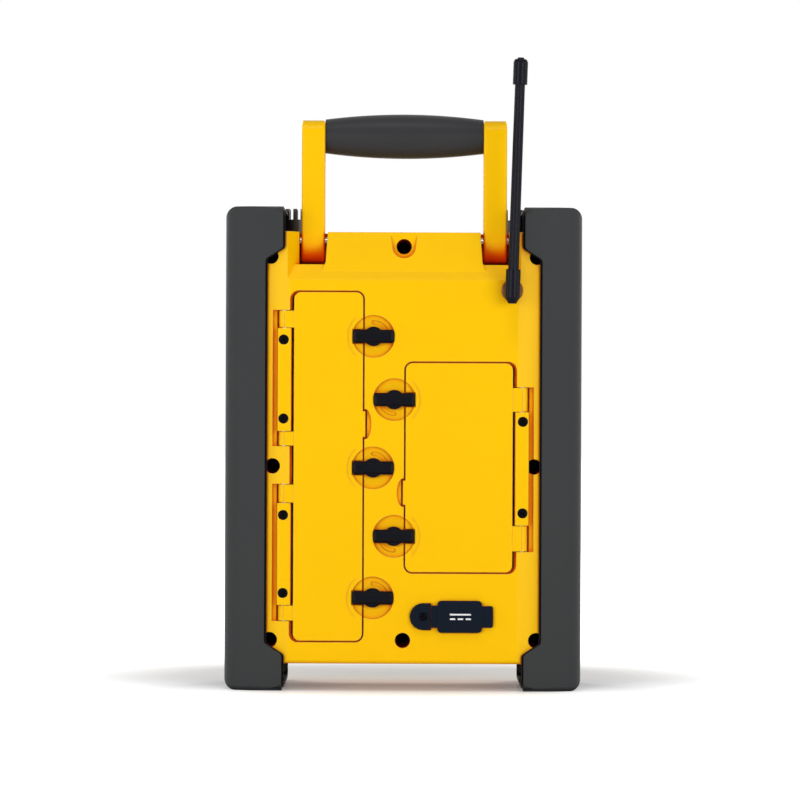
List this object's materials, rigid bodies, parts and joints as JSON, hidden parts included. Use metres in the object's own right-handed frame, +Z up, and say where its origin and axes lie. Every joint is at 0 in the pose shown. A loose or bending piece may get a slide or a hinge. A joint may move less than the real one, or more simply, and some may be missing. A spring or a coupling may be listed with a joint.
{
  "type": "jobsite radio",
  "caption": "Rugged upright jobsite radio: moulded casing between corner bumpers, folding carrying handle, whip aerial, latched hinged doors at the back and a loudspeaker at the front.",
  "frame": {"origin": "on the surface the radio stands on, in the middle of its width and of its depth over everything", "axes": "+Z up, -Y out of the loudspeaker, +Y out of the doors; seen from behind, +X is to the left"},
  "size_m": [0.215, 0.1428, 0.3801],
  "materials": {
    "casing_yellow": "satin, fine spark texture",
    "bumper_grey": "soft matte",
    "black_plastic": "satin",
    "knob_black": "satin",
    "grip_rubber": "soft matte",
    "seal_rubber": "matte",
    "cover_rubber": "soft matte",
    "aerial_rubber": "satin",
    "bronze": "dark plated, turned",
    "screw_black": "black oxide",
    "screw_steel": "zinc plated",
    "contact_nickel": "nickel plated",
    "grille_steel": "powder coated",
    "basket_steel": "black painted",
    "ferrite": "bare",
    "cone_paper": "fibrous matte",
    "panel_gloss": "gloss",
    "window_clear": "clear acrylic",
    "display_grey": "matte",
    "button_rubber": "matte",
    "board_green": "lacquered",
    "pot_metal": "plated can"
  },
  "bodies": {
    "casing": {"rear_housing": "casing_yellow", "front_housing": "casing_yellow", "battery_bay": "casing_yellow", "device_bay": "casing_yellow", "battery_hinge_bars": "casing_yellow", "device_hinge_bar": "casing_yellow", "left_bumper": "bumper_grey", "right_bumper": "bumper_grey", "case_seal": "seal_rubber", "case_screws": "screw_black", "hinge_bar_screws": "screw_black", "hinge_pins": "screw_steel", "handle_pivots": "screw_steel", "board_screws": "screw_steel", "grille_screws": "screw_black", "dc_cover_screw": "screw_black", "battery_springs": "contact_nickel", "battery_contacts": "contact_nickel", "aux_socket": "black_plastic", "dc_jack": "black_plastic", "dc_cover_anchor": "cover_rubber", "antenna_socket": "bronze", "antenna_nut": "bronze", "volume_pot": "pot_metal", "tuning_encoder": "pot_metal", "speaker_grille": "grille_steel", "grille_ring": "black_plastic", "speaker_basket": "basket_steel", "speaker_cone": "cone_paper", "speaker_magnet": "ferrite", "control_panel": "panel_gloss", "display_window": "window_clear", "display_module": "display_grey", "control_board": "board_green", "main_board": "board_green"},
    "battery_door": {"battery_door": "casing_yellow", "battery_door_seal": "seal_rubber"},
    "device_door": {"device_door": "casing_yellow", "device_door_seal": "seal_rubber"},
    "cover_flap": {"dc_cover_flap": "cover_rubber"},
    "aerial": {"antenna_boot": "aerial_rubber", "antenna_mast": "aerial_rubber", "antenna_tip": "aerial_rubber"},
    "handle": {"handle_arm_left": "casing_yellow", "handle_arm_right": "casing_yellow", "handle_core": "black_plastic", "handle_grip": "grip_rubber"},
    "volume_knob": {"volume_knob": "knob_black"},
    "tuning_knob": {"tuning_knob": "knob_black"},
    "battery_latch_top": {"battery_latch_top": "black_plastic"},
    "battery_latch_middle": {"battery_latch_middle": "black_plastic"},
    "battery_latch_bottom": {"battery_latch_bottom": "black_plastic"},
    "device_latch_top": {"device_latch_top": "black_plastic"},
    "device_latch_bottom": {"device_latch_bottom": "black_plastic"},
    "button_1": {"button_1": "button_rubber"},
    "button_2": {"button_2": "button_rubber"},
    "button_3": {"button_3": "button_rubber"},
    "button_4": {"button_4": "button_rubber"},
    "button_5": {"button_5": "button_rubber"}
  },
  "joints": [
    {"name": "battery_door_hinge", "type": "hinge", "parent": "casing", "child": "battery_door", "pos_m": [0.0715, 0.0538, 0.13485], "axis": [0, 0, -1], "range_deg": [0, 100]},
    {"name": "device_door_hinge", "type": "hinge", "parent": "casing", "child": "device_door", "pos_m": [-0.0712, 0.0538, 0.1344], "axis": [0, 0, 1], "range_deg": [0, 100]},
    {"name": "cover_flap_bend", "type": "hinge", "parent": "casing", "child": "cover_flap", "pos_m": [-0.017, 0.0605, 0.045], "axis": [0, 0, -1], "range_deg": [0, 110], "stiffness_Nm_per_rad": 0.002},
    {"name": "aerial_swivel", "type": "hinge", "parent": "casing", "child": "aerial", "pos_m": [-0.065, 0.067, 0.2409], "axis": [0, -1, 0], "range_deg": [-90, 90]},
    {"name": "handle_fold", "type": "hinge", "parent": "casing", "child": "handle", "pos_m": [0, 0.028, 0.2706], "axis": [-1, 0, 0], "range_deg": [0, 90]},
    {"name": "volume_turn", "type": "hinge", "parent": "casing", "child": "volume_knob", "pos_m": [0.067, -0.03, 0.28], "axis": [0, 0, 1], "range_deg": [-150, 150]},
    {"name": "tuning_turn", "type": "hinge", "parent": "casing", "child": "tuning_knob", "pos_m": [-0.067, -0.03, 0.28], "axis": [0, 0, 1], "continuous": true},
    {"name": "battery_latch_top_turn", "type": "hinge", "parent": "casing", "child": "battery_latch_top", "pos_m": [0.0181, 0.058, 0.213], "axis": [0, 1, 0], "range_deg": [0, 90]},
    {"name": "battery_latch_middle_turn", "type": "hinge", "parent": "casing", "child": "battery_latch_middle", "pos_m": [0.0181, 0.058, 0.1341], "axis": [0, 1, 0], "range_deg": [0, 90]},
    {"name": "battery_latch_bottom_turn", "type": "hinge", "parent": "casing", "child": "battery_latch_bottom", "pos_m": [0.0181, 0.058, 0.0561], "axis": [0, 1, 0], "range_deg": [0, 90]},
    {"name": "device_latch_top_turn", "type": "hinge", "parent": "casing", "child": "device_latch_top", "pos_m": [0.0055, 0.058, 0.1751], "axis": [0, 1, 0], "range_deg": [0, 90]},
    {"name": "device_latch_bottom_turn", "type": "hinge", "parent": "casing", "child": "device_latch_bottom", "pos_m": [0.0055, 0.058, 0.0931], "axis": [0, 1, 0], "range_deg": [0, 90]},
    {"name": "button_1_press", "type": "slide", "parent": "casing", "child": "button_1", "axis": [0, 1, 0], "range_m": [0, 0.0012], "stiffness_N_per_m": 400, "springref_m": -0.001},
    {"name": "button_2_press", "type": "slide", "parent": "casing", "child": "button_2", "axis": [0, 1, 0], "range_m": [0, 0.0012], "stiffness_N_per_m": 400, "springref_m": -0.001},
    {"name": "button_3_press", "type": "slide", "parent": "casing", "child": "button_3", "axis": [0, 1, 0], "range_m": [0, 0.0012], "stiffness_N_per_m": 400, "springref_m": -0.001},
    {"name": "button_4_press", "type": "slide", "parent": "casing", "child": "button_4", "axis": [0, 1, 0], "range_m": [0, 0.0012], "stiffness_N_per_m": 400, "springref_m": -0.001},
    {"name": "button_5_press", "type": "slide", "parent": "casing", "child": "button_5", "axis": [0, 1, 0], "range_m": [0, 0.0012], "stiffness_N_per_m": 400, "springref_m": -0.001}
  ]
}
